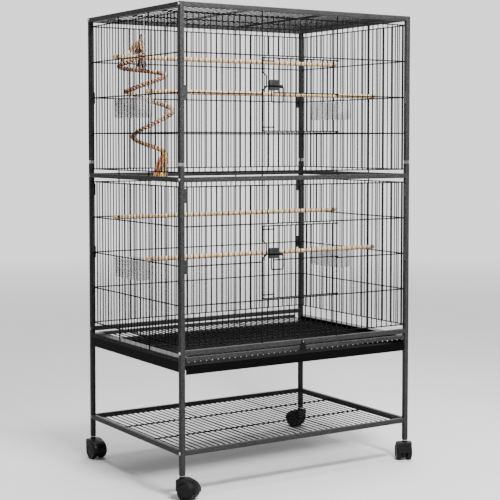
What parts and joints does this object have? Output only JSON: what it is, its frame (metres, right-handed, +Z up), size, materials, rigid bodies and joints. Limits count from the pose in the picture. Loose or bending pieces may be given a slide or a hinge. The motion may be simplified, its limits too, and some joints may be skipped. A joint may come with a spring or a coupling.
{
  "type": "bird cage on stand",
  "caption": "Tall two-tier wire flight cage on a square-tube stand with front doors, slide-out grate and tray, perches, feeder cups, a storage shelf and swivel casters.",
  "frame": {"origin": "on the floor under the centre of the cage", "axes": "+Z is up, +X runs to the right along the front seen from outside, -Y points out of the front with the doors"},
  "size_m": [0.8358, 0.6486, 1.337],
  "materials": {
    "hammered_coat": "dark charcoal hammered powder coat",
    "wire_coat": "dark charcoal powder-coated wire",
    "tray_black": "semi-gloss black coated sheet",
    "black_plastic": "moulded, satin",
    "zinc": "bright zinc plate",
    "pale_wood": "bare turned dowel",
    "clear_plastic": "translucent clear moulding",
    "cotton_rope": "twisted multicolour cotton over wire"
  },
  "bodies": {
    "cage": {"upper_frame_left": "hammered_coat", "upper_frame_right": "hammered_coat", "lower_frame_left": "hammered_coat", "lower_frame_right": "hammered_coat", "splice_front_left": "zinc", "splice_front_right": "zinc", "splice_back_left": "zinc", "splice_back_right": "zinc", "top_rail_front": "hammered_coat", "top_rail_back": "hammered_coat", "mid_rail_front": "hammered_coat", "mid_rail_back": "hammered_coat", "base_rail_front": "hammered_coat", "base_rail_back": "hammered_coat", "shelf_rail_front": "hammered_coat", "shelf_rail_back": "hammered_coat", "upper_panel_front": "wire_coat", "upper_panel_back": "wire_coat", "upper_panel_left": "wire_coat", "upper_panel_right": "wire_coat", "lower_panel_front": "wire_coat", "lower_panel_back": "wire_coat", "lower_panel_left": "wire_coat", "lower_panel_right": "wire_coat", "top_grille": "wire_coat", "shelf_grille": "wire_coat", "tray_runner_left": "hammered_coat", "tray_runner_right": "hammered_coat", "catch_pin": "zinc", "upper_perch_front": "pale_wood", "upper_perch_back": "pale_wood", "lower_perch_front": "pale_wood", "lower_perch_back": "pale_wood", "rope_perch": "cotton_rope", "rope_hook": "zinc"},
    "upper_door": {"upper_door": "wire_coat", "upper_latch_block": "black_plastic"},
    "upper_latch_ring": {"upper_latch_ring": "wire_coat"},
    "lower_door": {"lower_door": "wire_coat", "lower_latch_block": "black_plastic"},
    "lower_latch_ring": {"lower_latch_ring": "wire_coat"},
    "grate": {"floor_grate": "wire_coat"},
    "tray": {"tray": "tray_black"},
    "upper_feeder_left": {"upper_feeder_left": "clear_plastic"},
    "upper_feeder_right": {"upper_feeder_right": "clear_plastic"},
    "lower_feeder_left": {"lower_feeder_left": "clear_plastic"},
    "lower_feeder_right": {"lower_feeder_right": "clear_plastic"},
    "caster_fork_front_left": {"caster_fork_front_left": "black_plastic"},
    "caster_wheels_front_left": {"caster_wheels_front_left": "black_plastic"},
    "caster_fork_front_right": {"caster_fork_front_right": "black_plastic"},
    "caster_wheels_front_right": {"caster_wheels_front_right": "black_plastic"},
    "caster_fork_back_left": {"caster_fork_back_left": "black_plastic"},
    "caster_wheels_back_left": {"caster_wheels_back_left": "black_plastic"},
    "caster_fork_back_right": {"caster_fork_back_right": "black_plastic"},
    "caster_wheels_back_right": {"caster_wheels_back_right": "black_plastic"}
  },
  "joints": [
    {"name": "upper_door_swing", "type": "hinge", "parent": "cage", "child": "upper_door", "pos_m": [0.1288, -0.276, 1.0965], "axis": [0, 0, 1], "range_deg": [0, 150]},
    {"name": "upper_latch_lift", "type": "slide", "parent": "upper_door", "child": "upper_latch_ring", "axis": [0, 0, 1], "range_m": [0, 0.01]},
    {"name": "lower_door_swing", "type": "hinge", "parent": "cage", "child": "lower_door", "pos_m": [0.1288, -0.276, 0.6295], "axis": [0, 0, 1], "range_deg": [0, 150]},
    {"name": "lower_latch_lift", "type": "slide", "parent": "lower_door", "child": "lower_latch_ring", "axis": [0, 0, 1], "range_m": [0, 0.01]},
    {"name": "grate_slide", "type": "slide", "parent": "cage", "child": "grate", "axis": [0, 1, 0], "range_m": [-0.5, 0]},
    {"name": "tray_slide", "type": "slide", "parent": "cage", "child": "tray", "axis": [0, -1, 0], "range_m": [0, 0.52]},
    {"name": "upper_feeder_lift_left", "type": "slide", "parent": "cage", "child": "upper_feeder_left", "axis": [0, 0, 1], "range_m": [0, 0.006]},
    {"name": "upper_feeder_lift_right", "type": "slide", "parent": "cage", "child": "upper_feeder_right", "axis": [0, 0, 1], "range_m": [0, 0.006]},
    {"name": "lower_feeder_lift_left", "type": "slide", "parent": "cage", "child": "lower_feeder_left", "axis": [0, 0, 1], "range_m": [0, 0.006]},
    {"name": "lower_feeder_lift_right", "type": "slide", "parent": "cage", "child": "lower_feeder_right", "axis": [0, 0, 1], "range_m": [0, 0.006]},
    {"name": "caster_swivel_front_left", "type": "hinge", "parent": "cage", "child": "caster_fork_front_left", "pos_m": [-0.3864, -0.276, 0.06], "axis": [0, 0, 1], "continuous": true},
    {"name": "caster_roll_front_left", "type": "hinge", "parent": "caster_fork_front_left", "child": "caster_wheels_front_left", "pos_m": [-0.37633, -0.29211, 0.025], "axis": [0.848, 0.5299, 0], "continuous": true},
    {"name": "caster_swivel_front_right", "type": "hinge", "parent": "cage", "child": "caster_fork_front_right", "pos_m": [0.3864, -0.276, 0.06], "axis": [0, 0, 1], "continuous": true},
    {"name": "caster_roll_front_right", "type": "hinge", "parent": "caster_fork_front_right", "child": "caster_wheels_front_right", "pos_m": [0.39532, -0.25922, 0.025], "axis": [-0.8829, 0.4695, 0], "continuous": true},
    {"name": "caster_swivel_back_left", "type": "hinge", "parent": "cage", "child": "caster_fork_back_left", "pos_m": [-0.3864, 0.276, 0.06], "axis": [0, 0, 1], "continuous": true},
    {"name": "caster_roll_back_left", "type": "hinge", "parent": "caster_fork_back_left", "child": "caster_wheels_back_left", "pos_m": [-0.38474, 0.25707, 0.025], "axis": [0.9962, 0.0872, 0], "continuous": true},
    {"name": "caster_swivel_back_right", "type": "hinge", "parent": "cage", "child": "caster_fork_back_right", "pos_m": [0.3864, 0.276, 0.06], "axis": [0, 0, 1], "continuous": true},
    {"name": "caster_roll_back_right", "type": "hinge", "parent": "caster_fork_back_right", "child": "caster_wheels_back_right", "pos_m": [0.3799, 0.29385, 0.025], "axis": [-0.9397, -0.342, 0], "continuous": true}
  ]
}
